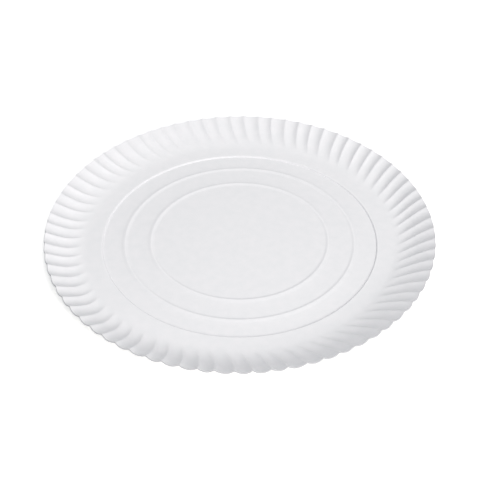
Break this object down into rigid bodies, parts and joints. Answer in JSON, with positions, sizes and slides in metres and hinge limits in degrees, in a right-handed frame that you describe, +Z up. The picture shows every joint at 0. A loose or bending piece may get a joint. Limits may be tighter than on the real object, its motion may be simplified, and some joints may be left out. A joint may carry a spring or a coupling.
{
  "type": "round cardboard tray",
  "caption": "Shallow round serving tray pressed from white card, with raised rings and a low step in its floor and a raised rim fluted all round.",
  "frame": {"origin": "centre of the underside of the flat floor, on the surface that the tray stands on", "axes": "+Z up along the axis of the round tray; X and Y lie in the floor, and the flutes make them alike"},
  "size_m": [0.3008, 0.3008, 0.0144],
  "materials": {
    "white_card": "satin"
  },
  "bodies": {
    "root": {"tray": "white_card"}
  },
  "joints": []
}
